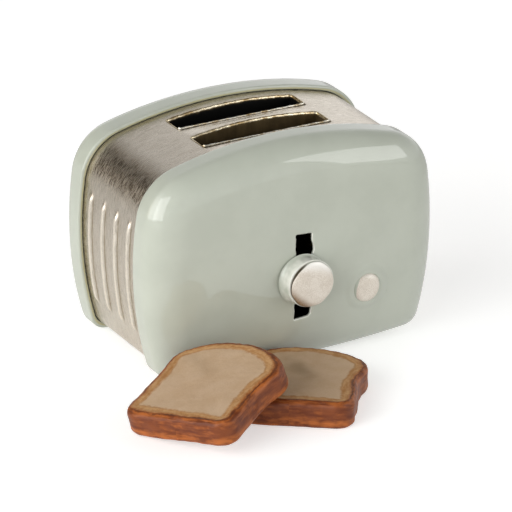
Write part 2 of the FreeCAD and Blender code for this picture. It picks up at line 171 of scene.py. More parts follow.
cover_width, cover_height, stand_height = 62.0, 45.0, 0.2
top_radius, side_radius, bottom_radius, side_height = 84.7, 70.6, 267.0, 23.0
upper_corner, lower_corner, corner_shrink = 10.3, 3.2, 0.9
half_rims = 11.0
arc_steps = {"top": 34, "upper": 24, "side": 44, "lower": 12, "bottom": 40}


def touching_centre(centre_a, reach_a, centre_b, reach_b):
    """Point on the +X side at given distances from two centres: the top of a triangle on their line."""
    step = centre_b - centre_a
    gap = np.linalg.norm(step, axis=-1)
    along = (reach_a**2 - reach_b**2 + gap**2) / (2 * gap)
    aside = np.sqrt(reach_a**2 - along**2)
    unit = step / gap[:, None]
    across = np.stack([unit[:, 1], -unit[:, 0]], -1)
    points = [centre_a + unit * along[:, None] + side * across * aside[:, None] for side in (1, -1)]
    return np.where((points[0][:, 0] > points[1][:, 0])[:, None], *points)


def heading(centre, point):
    """Angle of the direction from a centre to a point."""
    return np.arctan2(point[:, 1] - centre[:, 1], point[:, 0] - centre[:, 0])


def arc_points(centre, radius, start, end, steps):
    """Points of an arc at equal steps of angle, its end left out: centre + radius (cos a, sin a)."""
    angle = start[:, None] + (end - start)[:, None] * np.arange(steps) / steps
    return centre[:, None] + radius[:, None, None] * np.stack([np.cos(angle), np.sin(angle)], -1)


def outline(insets):
    """The toaster's outline (x, z) pulled inward by each inset: eight arcs that run into each other.

    Rows are insets, columns go clockwise from the top middle and end where they began."""
    inset = np.atleast_1d(np.asarray(insets, float))
    flat = np.zeros(len(inset))
    top = np.stack([flat, flat + cover_height - top_radius], -1)
    side = np.stack([flat + cover_width / 2 - side_radius, flat + side_height], -1)
    bottom = np.stack([flat, flat + bottom_radius], -1)
    reach_top, reach_side, reach_bottom = top_radius - inset, side_radius - inset, bottom_radius - inset
    shrink = 1 - corner_shrink * inset / (cover_height / 2)
    upper, lower = upper_corner * shrink, lower_corner * shrink
    high = touching_centre(top, reach_top - upper, side, reach_side - upper)
    low = touching_centre(side, reach_side - lower, bottom, reach_bottom - lower)
    turns = [flat + math.pi / 2, heading(top, high), heading(side, high), heading(side, low),
             heading(bottom, low), flat - math.pi / 2]
    circles = [(top, reach_top), (high, upper), (side, reach_side), (low, lower), (bottom, reach_bottom)]
    right = np.concatenate([arc_points(*circle, start, end, steps) for circle, start, end, steps
                            in zip(circles, turns, turns[1:], arc_steps.values())], 1)
    foot = np.stack([flat, inset], -1)[:, None]
    left = right[:, ::-1] * [-1, 1]
    return np.concatenate([right, foot, left], 1) + [0, stand_height]


def make_piece(name, patches, finish, body, stands_for=(), thickness=0.0):
    """One piece from patches of surface. A patch is a grid of points in millimetres (rows x columns x 3),
    the grid of its own UV, and a mask of the quads that are left out. Edges that meet are merged."""
    corners, quads, marks, first = [], [], [], 0
    for points, uv, left_out in patches:
        rows, columns = points.shape[:2]
        index = first + np.arange(rows * columns).reshape(rows, columns)
        quad = np.stack([index[:-1, :-1], index[:-1, 1:], index[1:, 1:], index[1:, :-1]], -1)
        quads.append(quad.reshape(-1, 4) if left_out is None else quad[~left_out])
        corners.append(points.reshape(-1, 3) / 1000)
        marks.append(np.zeros((rows * columns, 2)) if uv is None else uv.reshape(-1, 2))
        first += rows * columns
    corners, quads, marks = np.concatenate(corners), np.concatenate(quads), np.concatenate(marks)
    mesh = bpy.data.meshes.new(name)
    mesh.from_pydata(corners.tolist(), [], quads.tolist())
    layer = mesh.uv_layers.new(name="along_and_across")
    layer.data.foreach_set("uv", marks[quads.ravel()].ravel())
    work = bmesh.new()
    work.from_mesh(mesh)
    bmesh.ops.remove_doubles(work, verts=work.verts, dist=2e-6)
    bmesh.ops.dissolve_degenerate(work, edges=work.edges, dist=1e-7)
    bmesh.ops.recalc_face_normals(work, faces=work.faces)
    work.to_mesh(mesh)
    work.free()
    mesh.shade_smooth()
    mesh.set_sharp_from_angle(angle=math.radians(50))
    mesh.materials.append(finish)
    piece = bpy.data.objects.new(name, mesh)
    bpy.context.scene.collection.objects.link(piece)
    if thickness:
        wall = piece.modifiers.new("sheet", "SOLIDIFY")
        wall.thickness, wall.offset = thickness / 1000, -1
    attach(piece, body)
    if stands_for:
        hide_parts(*stands_for)
    return piece


def block_edge(grid, rows, columns):
    """Points round a block of a grid, clockwise in the grid, ending where they began."""
    (i0, i1), (j0, j1) = rows, columns
    return np.concatenate([grid[i0, j0:j1], grid[i0:i1, j1], grid[i1, j1:j0:-1], grid[i1:i0:-1, j0],
                           grid[i0:i0 + 1, j0]])


def unit_square(edge):
    """A block's edge as points of the square from -1 to 1, keeping each point's share of its side."""
    low, high = edge.min(0), edge.max(0)
    share = (edge - low) / (high - low) * 2 - 1
    return share / np.abs(share).max(-1, keepdims=True)


def rounded_rectangle(square, half, radius):
    """Points of a unit square's edge moved to a rectangle of these half sizes with round corners."""
    point, core = square * half, np.array(half) - radius
    past = np.abs(point) - core
    reach = np.linalg.norm(np.maximum(past, 0), axis=-1, keepdims=True)
    turned = np.sign(point) * (core + radius * past / np.maximum(reach, 1e-9))
    return np.where((past > 0).all(-1, keepdims=True), turned, point)


band_inset, band_sheet, band_reach = 1.05, 0.4, 13.4
rib_pitch, rib_shift = 5.1, 0.35
rib_places = rib_shift + rib_pitch * (np.arange(4) - 1.5)
rib_half_width, rib_height, rib_half_length, rib_level, rib_run_out = 1.0, 0.55, 12.0, 20.1, 2.4
slot_half, slot_edge, edge_sag = np.array([13.4, 2.7]), 0.32, 0.9
slot_places = {"front": -4.4, "rear": 5.4}
pan_window = np.array([21.3, 8.8])

ring = outline(band_inset)[0]
seam = np.argmin(np.abs(ring[:, 0] - 23) + ring[:, 1])       # under the toaster, beside the pan
ring = np.concatenate([ring[seam:-1], ring[:seam + 1]])
ring_length = np.concatenate([[0], np.cumsum(np.linalg.norm(np.diff(ring, axis=0), axis=1))])
ring_step = np.gradient(ring, ring_length, axis=0)
ring_out = np.stack([-ring_step[:, 1], ring_step[:, 0]], -1)


def rib_rise(y, z):
    """Height of the ribs at a point of the side: a raised cosine, squared, of the distance from
    each rib's middle line, which runs out gently at its ends."""
    rise = np.zeros(np.broadcast(y, z).shape)
    for place in rib_places:
        past = np.maximum(np.abs(z - rib_level) - rib_half_length + rib_run_out, 0)
        past = past * rib_half_width / rib_run_out
        share = np.minimum(np.hypot(y - place, past) / rib_half_width, 1)
        rise = np.maximum(rise, rib_height * np.cos(share * math.pi / 2) ** 2)
    return rise


def slot_sag(x, y):
    """How far the sheet sinks towards the front edge of each slot: a parabola along the slot, eased
    out over 3 mm in front of the edge."""
    sag = np.zeros(np.broadcast(x, y).shape)
    for place in slot_places.values():
        edge = place - slot_half[1] - slot_edge
        near = np.clip(1 - np.abs(y - edge) / 3, 0, 1)
        sag = np.maximum(sag, near**2 * (3 - 2 * near))
    return edge_sag * sag * np.maximum(1 - (x / (slot_half[0] + slot_edge)) ** 2, 0)


def band_point(along, y):
    """Point of the band at a length along its wrap and a depth: the outline, moved outward by the
    ribs on the sides and inward by the slots' sag on top."""
    x, z = (np.interp(along, ring_length, ring[:, axis]) for axis in (0, 1))
    out = np.stack([np.interp(along, ring_length, ring_out[:, axis]) for axis in (0, 1)], -1)
    rise = np.where(np.abs(x) > cover_width / 3, rib_rise(y, z), 0)
    rise -= np.where(z > cover_height / 2, slot_sag(x, y), 0)
    return np.stack([x + out[..., 0] * rise, y + 0 * x, z + out[..., 1] * rise], -1)


fine = np.sort(np.concatenate([place + np.linspace(-1.35, 1.35, 13) for place in rib_places]))
depths = np.concatenate([[-band_reach, -12.2, -11.0, -9.7], fine, [10.6, 11.8, band_reach]])
band_grid = np.stack(np.meshgrid(ring_length, depths), -1)
left_out = np.zeros((len(depths) - 1, len(ring_length) - 1), bool)
band_patches = []
middle_top = ring_length[np.argmax(ring[:, 1])]
middle_foot = ring_length[np.argmin(np.hypot(ring[:, 0], ring[:, 1]))]
openings = [(middle_top, place, slot_half + slot_edge, 0.4, 1.1) for place in slot_places.values()]
openings.append((middle_foot, 0.0, pan_window, 0.5, 1.5))
for middle, place, half, radius, margin in openings:
    columns = np.searchsorted(ring_length, [middle - half[0] - margin, middle + half[0] + margin])
    rows = np.searchsorted(depths, [place - half[1] - margin * 0.4, place + half[1] + margin * 0.4])
    rows[0] -= 1
    edge = block_edge(band_grid, rows, columns)
    hole = rounded_rectangle(unit_square(edge), half, radius) + [middle, place]
    weights = np.linspace(0, 1, 7)[:, None, None]
    patch = edge * (1 - weights) + hole * weights
    band_patches.append((band_point(patch[..., 0], patch[..., 1]), patch, None))
    left_out[rows[0]:rows[1], columns[0]:columns[1]] = True
band_patches.append((band_point(band_grid[..., 0], band_grid[..., 1]), band_grid, left_out))


def brushed(name):
    """Brushed steel: fine lines along the wrap, from the piece's own UV, and a warm grey tone that
    varies from line to line. The ribs' crests carry a painted highlight and one foot of each a painted shade
    line."""
    material, bare, where = new_finish(name)
    wrap = bare.node("UVMap", {"uv_map": "along_and_across"})
    sway = bare.node("CombineXYZ", (), {"Y": 0.9 * cloud(wrap, 2.5, 2)})
    wavy = wrap.node("VectorMath", {"operation": "ADD"}, {0: wrap, 1: sway})
    hairs = between(cloud(stretched(wavy, 1.9, 0.17, 1), 1.0, 3, 0.6), 0.42, 0.70)
    broad_lines = cloud(stretched(wavy, 5.0, 0.6, 1), 1.0, 3)
    blotch = cloud(where, 2.6, 4)
    tone = between(hairs * 0.2 + broad_lines * 0.5 + blotch * 0.3, 0.24, 0.60)
    bump = raised(hairs, 0.010, raised(blotch, 0.03))
    x, y, z = (bare.node("SeparateXYZ", (), {"Vector": where}, axis) for axis in "XYZ")
    row = (y - rib_places[0]) / rib_pitch + 0.5
    aside = (row - row.maths("FLOOR", row) - 0.5) * rib_pitch + 0.25 * (blotch - 0.5)
    ribbed = (between(x.maths("ABSOLUTE", x), 24, 27)
              * between(z, rib_level - rib_half_length + 0.5, rib_level - rib_half_length + 1.5)
              * between(z, rib_level + rib_half_length - 2.4, rib_level + rib_half_length - 0.8, 1, 0)
              * between(y, -9.2, -8.8) * between(y, 9.4, 9.8, 1, 0))
    # Painted highlight along each rib's crest and painted shade along its front foot.
    painted_crest_highlight = ribbed * between(aside, -0.55, -0.25) * between(aside, 0.2, 0.6, 1, 0)
    foot = ribbed * between(aside, -1.05, -0.85) * between(aside, -0.80, -0.55, 1, 0)
    foot = foot * between(blotch, 0.3, 0.5, 0.5, 1)
    steel = blended(tone, paint(194, 184, 169), paint(213, 204, 191))
    steel = blended(foot, blended(painted_crest_highlight * 0.8, steel, paint(246, 237, 222)), paint(162, 150, 130))
    done(bare, Base_Color=steel, Metallic=1.0, Roughness=0.22 + 0.22 * hairs, Normal=bump)
    return material


brushed_steel = brushed("brushed_steel")
make_piece("steel_band", band_patches, brushed_steel, "toaster", ["body_band"], band_sheet)


# ======== Bread wells ========
# Two folded sheet wells hang in the band's openings. Their far and end edges are turned out over
# the band, their front walls end in a straight bare edge, and the lever's bar passes below.

well_foot, window_top, window_half = 6.0, 27.7, 1.6
straight_level, edge_reach = 43.38, 0.46
rolled = np.array([(0, -7), (0, -3), (0, -1.2), (0, -0.7), (0.02, -0.35), (0.09, -0.10), (0.2, 0.05),
                   (0.32, 0.09), (0.42, 0.07), (0.46, -0.02), (0.30, -0.03), (0.24, -0.3), (0.24, -0.7),
                   (0.24, -7)])
folded = np.array([(0, -7), (0, -3), (0, -1.2), (0, -0.5), (0, -0.15), (0.01, -0.04), (0.05, 0), (0.10, 0.01),
                   (0.16, 0), (0.21, -0.04), (0.23, -0.15), (0.24, -0.3), (0.24, -0.7), (0.24, -7)])


def top_level(inset, x):
    """Height of the top arc at x."""
    return stand_height + cover_height - top_radius + np.sqrt((top_radius - inset) ** 2 - x**2)


def well_patch(name, window_sides):
    """Sheet well: its rounded rectangle swept through a closed profile (out, up), which is the rolled
    edge, and the folded one on the front side. Windows are notches from below."""
    cuts = np.array([-1, 1]) * window_half / slot_half[0]
    side = np.sort(np.concatenate([np.linspace(-1, 1, 81), cuts, cuts]))
    short = np.linspace(-1, 1, 13)
    square = np.concatenate([np.stack([side, side * 0 - 1], -1),
                             np.stack([short * 0 + 1, short], -1)[1:],
                             np.stack([-side, side * 0 + 1], -1)[1:],
                             np.stack([short * 0 - 1, -short], -1)[1:]])
    front = square[:, 1] < -0.8
    share = np.where(front, 1.0, 0.0)[None]
    inside = np.abs(square[:, 0]) < window_half / slot_half[0] + 1e-6
    first_of_pair = np.zeros(len(square), bool)
    for cut in cuts:
        for y in (-1, 1):
            pair = np.flatnonzero((np.abs(square[:, 0] - cut) < 1e-9) & (square[:, 1] == y))
            outer = pair[0] if (cut < 0) == (y < 0) else pair[1]
            first_of_pair[outer] = True
    notch = inside & ~first_of_pair & np.isin(square[:, 1], window_sides)
    out = rolled[:, :1] * (1 - share) + folded[:, :1] * share
    rise = rolled[:, 1:] * (1 - share) + folded[:, 1:] * share
    out = np.concatenate([out, [out[-1]] * 2, [out[0]] * 3])
    lines = np.stack([rounded_rectangle(square, slot_half + spread, 0.3 + spread)
                      for spread in (0, edge_reach)])
    flat = lines[0] + (lines[1] - lines[0]) * (out / edge_reach)[..., None]
    top = np.where(front, straight_level, top_level(band_inset, flat[..., 0]))
    waver = 0.025 * np.sin(flat[..., 0] * 2.3 + flat[..., 1]) + 0.02 * np.sin(flat[..., 0] * 5.1)
    level = top[:len(rise)] + rise + waver[:len(rise)] * (rise > -0.6)
    foot = np.where(notch, window_top, well_foot)
    high = np.full(len(square), window_top)
    level = np.concatenate([level, [high, foot, foot, high, level[0]]])
    lean = 0.3 * front * np.clip((level - window_top) / (straight_level - window_top), 0, 1)
    points = np.stack([flat[..., 0], flat[..., 1] + lean + slot_places[name], level], -1)
    below = level - top
    return [(points, np.stack([share + 0 * below, below], -1), None)]


def shaded_well_steel(name, painted_shade_depth):
    """Steel well: polished champagne on its turned edge, with nicks and worn spots and a painted highlight in
    silver white along the front edge, then painted shade below the edge: brown, and black further down, by
    the distance below the edge in the UV."""
    material, bare, where = new_finish(name)
    wrap = bare.node("UVMap", {"uv_map": "along_and_across"})
    below = bare.node("SeparateXYZ", (), {"Vector": wrap}, "Y")
    is_front = bare.node("SeparateXYZ", (), {"Vector": wrap}, "X")
    nicks, spots = cloud(where, 0.35, 4, 0.65), cloud(where, 1.8, 3)
    streaks = cloud(stretched(where, 1.4, 1.4, 5), 1.0, 4)
    gold = blended(between(spots * 0.7 + nicks * 0.3, 0.38, 0.62), paint(170, 146, 104), paint(238, 226, 198))
    # The front edge's silver white is a painted highlight.
    bright = blended(is_front * between(spots, 0.35, 0.55), gold, paint(226, 221, 208))
    brown = blended(between(streaks, 0.3, 0.7), paint(80, 66, 42), paint(100, 84, 56))
    # Painted shade down the well: brown below the edge, black further down.
    dark = between(below + 1.2 * (spots - 0.5), -painted_shade_depth, -painted_shade_depth * 0.4)
    worn = between(below + 0.5 * (spots - 0.5) + 0.4 * (nicks - 0.5), -0.42, -0.22)
    colour = blended(worn, blended(dark, paint(13, 12, 10), brown), bright)
    done(bare, Base_Color=colour, Metallic=0.55 + 0.45 * worn,
         Roughness=0.34 - 0.18 * worn + 0.2 * nicks, Normal=raised(nicks, 0.03, raised(spots, 0.05)))
    return material


# The rear well turns black sooner below its edge: deeper painted shade.
make_piece("front_well_sheet", well_patch("front", (-1, 1)), shaded_well_steel("front_well_steel", 5.0), "toaster",
           ["front_bread_well"])
make_piece("rear_well_sheet", well_patch("rear", (-1,)), shaded_well_steel("rear_well_steel", 0.7), "toaster",
           ["rear_bread_well"])


# ======== Lever works ========
# A bar runs from the knob through both wells and carries a shelf in each. A carriage plate on
# it slides on two rods in brass bushes, and a leaf spring rubs on the front well.

# The works are dark so that the slit and slots show painted shade inside.
black_steel = metal("dark_steel_for_inner_shade", paint(58, 56, 52), paint(30, 29, 27), 0.45, 0.2)
spring_steel = metal("spring_steel", paint(92, 92, 94), paint(52, 52, 55), 0.3, 0.1)
brass = metal("brass", paint(150, 120, 66), paint(96, 76, 44), 0.3, 0.1)
wear_finish(black_steel, "lever_bar", "carriage_plate", "front_bread_shelf", "rear_bread_shelf",
            "guide_rod_left", "guide_rod_right")
wear_finish(brass, "guide_bushes")
wear_finish(spring_steel, "drag_spring")


# ======== Covers ========
# Two deep-drawn sheet covers in sage enamel. Their edges are rolled by the thick paint. The front
# one has the lever's slit, cut by hand and painted over, and a raised ring for the button.

cover_sheet, lip_depth, rounding_in, rounding_out, crown_height = 0.7, 3.1, 6.4, 4.2, 2.2
rim_roll, bead_reach, bead_end = 0.28, 0.97, 1.1
slit_middle, slit_half, slit_roll = np.array([0.5, 18.9]), np.array([1.74, 8.75]), 0.3
button_middle, button_hole, boss_inner, boss_outer, boss_rise = np.array([14.3, 13.7]), 2.885, 3.5, 4.9, 0.3


def crown(x, z):
    """Bulge of a face: crown height times (1 - |x|^3) (1 - z^2), both measured from the middle."""
    across = np.abs(x) / (cover_width / 2)
    up = (z - stand_height - cover_height / 2) / (cover_height / 2)
    return crown_height * np.clip(1 - across**3, 0, 1) * np.clip(1 - up**2, 0, 1)


def face_depth(x, z, boss):
    """How far the face lies in front of the rim, with the eased ring round the button."""
    away = np.hypot(x - button_middle[0], z - button_middle[1])
    ease = np.clip((boss_outer - away) / (boss_outer - boss_inner), 0, 1)
    return lip_depth + rounding_out + crown(x, z) + boss * boss_rise * ease**2 * (3 - 2 * ease)


def placed(flat, depth):
    """Points from (x, z) and the depth in front of the rim."""
    return np.stack([flat[..., 0], -half_rims - depth, flat[..., 1]], -1)


def edge_rows(wall, start):
    """Rows from the rim over the straight lip and the rounded edge: a quarter ellipse."""
    turn = np.linspace(0, math.pi / 2, 17)
    lips = np.linspace(start, lip_depth, 6)[:-1]
    inset = np.concatenate([lips * 0 + wall, wall + (rounding_in - wall) * (1 - np.cos(turn))])
    depth = np.concatenate([lips, lip_depth + (rounding_out - wall) * np.sin(turn)])
    loops = outline(inset)
    share = np.minimum(depth / lip_depth, 1)[:, None]
    return placed(loops, depth[:, None] + crown(loops[..., 0], loops[..., 1]) * share)


def marked(rows, inner, thin=0.0):
    """A patch whose UV says, row by row, whether it is the dark inner side, and where paint is thin
    (above 0), carries a painted highlight (down to -1) or painted shade (below -1)."""
    shares = [np.broadcast_to(np.asarray(share, float).reshape(-1, 1), rows.shape[:2])
              for share in (inner, thin)]
    return rows, np.stack(shares, -1), None


def rim_rows():
    """The painted rim: a bead, half a round, that runs back to the inner wall."""
    turn = np.linspace(0, math.pi, 11)
    inset = np.append(bead_reach / 2 * (1 - np.cos(turn)), [0.96, 0.88, 0.77, cover_sheet])
    depth = np.append(rim_roll - rim_roll * np.sin(turn), [0.45, 0.7, 0.92, bead_end])[:, None]
    loops = outline(inset)
    return placed(loops, depth + crown(loops[..., 0], loops[..., 1]) * depth / lip_depth)


def face_grid():
    """Coons patch over the outline at the inner end of the rounding: (x, z) of rows from top to bottom."""
    loop = outline(rounding_in)[0]
    top_half, side_full = arc_steps["top"] + arc_steps["upper"] // 2, len(loop) // 2
    corner_low = side_full - arc_steps["bottom"] - arc_steps["lower"] // 2
    above = np.concatenate([loop[-1 - top_half:-1], loop[:top_half + 1]])
    below = loop[2 * side_full - corner_low:corner_low - 1:-1]
    right = loop[top_half:corner_low + 1]
    left = right * [-1, 1]
    u = np.linspace(0, 1, len(above))[None, :, None]
    v = np.linspace(0, 1, len(right))[:, None, None]
    corners = ((1 - u) * (1 - v) * above[0] + u * (1 - v) * above[-1]
               + (1 - u) * v * below[0] + u * v * below[-1])
    return (1 - v) * above + v * below + (1 - u) * left[:, None] + u * right[:, None] - corners


def slit_waver(loop):
    """Hand-cut edge: slow waves, a bulge on the upper right side and a cut lower right corner."""
    x, z = (loop - slit_middle).T
    right = np.clip(x / slit_half[0], 0, 1)
    wave = 0.05 * np.sin(z * 2.1 + x) + 0.04 * np.sin(z * 4.7 + 2 * x)
    bulge = right * (0.34 * np.exp(-((z - 5.2) / 1.2) ** 2) - 0.16 * np.exp(-((z - 3.6) / 0.6) ** 2))
    bulge += right * 0.12 * np.exp(-((z + 7.3) / 0.6) ** 2)
    corner = np.maximum(0, 0.5 - np.hypot(x - slit_half[0], z + slit_half[1]))
    lean = (z < -8.3) * 0.07 * x - (z > 8.3) * (0.12 + 0.06 * x)
    return np.stack([wave + bulge - 0.4 * corner, lean + 0.25 * corner], -1)


def hole_rows(edge, rings, depths, blend_steps, boss):
    """Rows from a block's edge in to a hole: blended to the first ring, then ring by ring, each at
    its depth below the face."""
    weights = np.linspace(0, 1, blend_steps + 1)[:-1, None, None]
    flat = np.concatenate([edge * (1 - weights) + rings[0] * weights, np.stack(rings)])
    sunk = np.concatenate([np.zeros(blend_steps), depths])[:, None]
    return placed(flat, face_depth(flat[..., 0], flat[..., 1], boss) - sunk)


def cover_patches(front):
    """Outer side, rim and inner side of a cover; the front one has its slit and button hole."""
    grid = face_grid()
    holes = np.zeros((grid.shape[0] - 1, grid.shape[1] - 1), bool)
    patches = []
    if front:
        columns_x, rows_z = grid[len(grid) // 2, :, 0], grid[:, grid.shape[1] // 2, 1]
        quarter, blend_steps = np.linspace(0, math.pi / 2, 6), 8
        for middle, half, reach in ((slit_middle, slit_half, (3.4, 10.8)),
                                    (button_middle, np.array([button_hole] * 2), (5.5, 5.3))):
            columns = [np.argmin(np.abs(columns_x - middle[0] - side * reach[0])) for side in (-1, 1)]
            rows = [np.argmin(np.abs(rows_z - middle[1] - side * reach[1])) for side in (1, -1)]
            holes[rows[0]:rows[1], columns[0]:columns[1]] = True
            edge = block_edge(grid, rows, columns)
            square = unit_square(edge)
            is_slit = half[1] > half[0]
            radius, roll = (0.3, slit_roll) if is_slit else (button_hole, 0.03)
            spreads = (roll * (1 - np.sin(quarter))).tolist()
            sinks = (roll * (1 - np.cos(quarter))).tolist()
            if not is_slit:
                steps = np.linspace(boss_outer, boss_inner, 8) - button_hole
                spreads, sinks = steps.tolist() + spreads, [0.0] * 8 + sinks
            rings = []
            for spread in spreads:
                line = rounded_rectangle(square, half + spread, radius + spread) + middle
                rings.append(line + (slit_waver(line) if is_slit else 0))
            full = cover_sheet + (0 if is_slit else boss_rise)
            rings.append(rings[-1])
            # The slit's rolled edge is marked for a painted highlight; the hole's inner wall is marked dark
            # for painted shade.
            slit_edge_highlight = [-0.6 * is_slit, -1.0 * is_slit, -1.0 * is_slit, -0.6 * is_slit, 0]
            highlight_marks = [0] * (blend_steps + len(sinks) - 4) + slit_edge_highlight
            painted = [0] * (blend_steps + len(sinks)) + [1]
            patches.append(marked(hole_rows(edge, rings, sinks + [full], blend_steps, 1), painted, highlight_marks))
            patches.append(marked(hole_rows(edge, rings[-1:], [0], 4, 0) + [0, cover_sheet, 0], 1))
    x, z = grid[..., 0], grid[..., 1]
    outside = placed(grid, face_depth(x, z, front))
    inside = placed(grid, face_depth(x, z, 0) - cover_sheet)
    patches += [(*marked(outside, 0)[:2], holes), (*marked(inside, 1)[:2], holes)]
    patches += [marked(edge_rows(0, rim_roll), 0), marked(edge_rows(cover_sheet, bead_end), 1)]
    patches.append(marked(rim_rows(), [0] * 13 + [0.5, 1], [0] * 4 + [0.2, 0.6, 1, 0.7, 0.3] + [0] * 6))
    return patches


def enamel(name):
    """Thick sage enamel under its own gloss: faint orange peel, a little cloudiness in colour and
    gloss, an olive tinge where it is thin along the rim, a painted highlight along the slit's edges and the
    knob's lip, painted shade in the groove round the knob's cap, and a near-black inner side that is painted
    shade inside the toaster."""
    material, bare, where = new_finish(name)
    wrap = bare.node("UVMap", {"uv_map": "along_and_across"})
    inner = between(bare.node("SeparateXYZ", (), {"Vector": wrap}, "X"), 0.55, 0.75)
    haze, peel = cloud(where, 9.0, 3), cloud(where, 1.7, 2, 0.4)
    grit = cloud(where, 0.35, 3, 0.6)
    film = bare.node("SeparateXYZ", (), {"Vector": wrap}, "Y")
    thin = between(film + 0.5 * (peel - 0.5), 0.35, 0.8)
    # Painted highlight where the marks run from -0.35 down to -0.95; painted shade in the knob cap's groove
    # below -1.
    painted_edge_highlight = between(film + 1.0 * (peel - 0.5), -0.95, -0.35, 1.0, 0.0)
    painted_groove_shade = between(film, -1.035, -1.015, 1.0, 0.0)
    sage = blended(between(haze, 0.35, 0.65), paint(184, 189, 175), paint(189, 194, 180))
    coloured = blended(painted_edge_highlight, blended(thin, sage, paint(188, 186, 146)), paint(232, 232, 222))
    coloured = blended(painted_groove_shade, coloured, paint(96, 84, 62))
    # The inner side is near black: painted shade inside the toaster.
    done(bare, Base_Color=blended(inner, coloured, paint(22, 21, 19)), Metallic=0.0,
         Roughness=0.42 + 0.10 * haze + 0.05 * grit + 0.2 * inner, Coat_Weight=1 - inner,
         Specular_IOR_Level=0.3, Coat_Roughness=0.02, Coat_IOR=1.6,
         Normal=raised(grit, 0.001, raised(peel, 0.006)))
    return material


sage_enamel = enamel("sage_enamel")
make_piece("front_cover_shell", cover_patches(1), sage_enamel, "toaster", ["front_cover"])
rear_patches = [(points * [1, -1, 1], uv, None) for points, uv, _ in cover_patches(0)]
make_piece("rear_cover_shell", rear_patches, sage_enamel, "toaster", ["rear_cover"])
wear_finish(spring_steel, "front_cover_clips", "rear_cover_clips")


# ======== Button ========
# A turned disc on a plunger, painted silver by hand, in a sheet guide with a coil spring behind
# it and a spring clip on the plunger's end.

wear_finish(plain_steel, "button_guide")
wear_finish(spring_steel, "button_spring", "button_clip")

face_front = -half_rims - lip_depth - rounding_out - crown_height


def turned_part(profile, middle, wobble, marks=1.0, lean=0.0):
    """Surface turned about Y: (r cos a, y, r sin a), each radius r times 1 + wobble(a), moved along X
    towards its foot by the lean. Its UV runs from 0 to marks along the profile."""
    angle = np.linspace(0, 2 * math.pi, 97)
    radius, depth = np.array(profile, float).T[..., None]
    radius = radius * (1 + np.minimum(1, radius / 2) * wobble(angle))
    spread = np.linspace(0, marks, len(profile))[:, None]
    aside = lean * (depth - depth.min()) / np.ptp(depth)
    points = np.stack([middle[0] + aside + radius * np.cos(angle), depth + 0 * angle,
                       middle[1] + radius * np.sin(angle)], -1)
    return [(points, np.stack([0 * angle + 0 * spread, spread + 0 * angle], -1), None)]


def quarter_round(centre, radius, start, end, steps=6):
    """Points of an arc as (radius, depth) pairs: centre + radius (cos a, -sin a)."""
    angle = np.radians(np.linspace(start, end, steps))
    return np.stack([centre[0] + radius * np.cos(angle), centre[1] - radius * np.sin(angle)], -1).tolist()


def hand_silver(name, middle, half_sizes, slant, edge_paint, shaded_side_paint, side_end, lower_left_shade):
    """Silver paint on a turned disc: warm fine grain, brushed out unevenly inside a hand-drawn oval,
    a painted highlight towards its top and painted shade towards its lower left edge and on the left of its
    side wall, with the paint below showing round it."""
    material, bare, where = new_finish(name)
    grain, brushwork = cloud(where, 0.11, 3, 0.7), cloud(where, 2.2, 3)
    apart = where.node("VectorMath", {"operation": "SUBTRACT"}, {0: where, 1: (middle[0], 0, middle[1])})

    def along(x, z):
        return apart.node("VectorMath", {"operation": "DOT_PRODUCT"}, {0: apart, 1: (x, 0, z)}, "Value")

    cosine, sine = math.cos(slant), math.sin(slant)
    wide = along(cosine / half_sizes[0], -sine / half_sizes[0])
    tall = along(sine / half_sizes[1], cosine / half_sizes[1])
    reach = (wide * wide + tall * tall).maths("POWER", wide * wide + tall * tall, 0.5)
    outside = between(reach + 0.16 * (brushwork - 0.5), 0.97, 1.04)
    mottle = between(grain * 0.8 + brushwork * 0.2, 0.40, 0.60)
    silver = blended(mottle, paint(210, 199, 183), paint(243, 236, 225))
    # Lighter towards the top: painted highlight. Browner towards the lower left: painted shade.
    painted_top_highlight = between(along(0.05, 0.2) + 0.3 * (grain - 0.5), 0.35, 0.85)
    thin = between(along(-0.15, -0.17) + 0.9 * (grain - 0.5), 0.60, 1.06, 0.0, lower_left_shade)
    right = between(along(0.17, 0.13), -0.1, 0.6)
    silver = blended(thin, blended(painted_top_highlight, silver, paint(252, 249, 242)), paint(126, 93, 54))
    wrap = bare.node("UVMap", {"uv_map": "along_and_across"})
    mark = bare.node("SeparateXYZ", (), {"Vector": wrap}, "Y")
    # The side wall is darker on its left: painted shade.
    side = blended(right, shaded_side_paint, edge_paint)
    coloured = blended(between(mark, side_end - 0.05, side_end), side, blended(outside, silver, edge_paint))
    done(bare, Base_Color=coloured, Metallic=0.30 * (1 - outside) * (1 - thin),
         Roughness=0.34 + 0.22 * grain, Normal=raised(grain, 0.010, raised(brushwork, 0.04)))
    return material


button_face = -half_rims - float(face_depth(*button_middle, 1)) - 0.6
button_profile = [(0, button_face + 2.2), (2.865, button_face + 2.2), (2.865, button_face + 0.68)]
button_profile += [(2.84, button_face + 0.62), (2.7, button_face + 0.48), (2.5, button_face + 0.31),
                   (2.2, button_face + 0.14), (1.8, button_face + 0.03), (1.2, button_face - 0.04),
                   (0, button_face - 0.08)]
button_middle = tuple(button_middle.tolist())
make_piece("button_disc", turned_part(button_profile, button_middle, lambda a: 0.0 * a),
           hand_silver("button_silver", button_middle, (2.42, 3.3), 0.27, paint(187, 192, 178),
                       paint(176, 181, 166), 0.27, 0.25),
           "button", ["button_cap"])


# ======== Lever knob ========
# A turned barrel, enamelled like the covers, flared at its foot and pinned to the bar through
# the slit. A domed cap painted silver is pressed into its front.

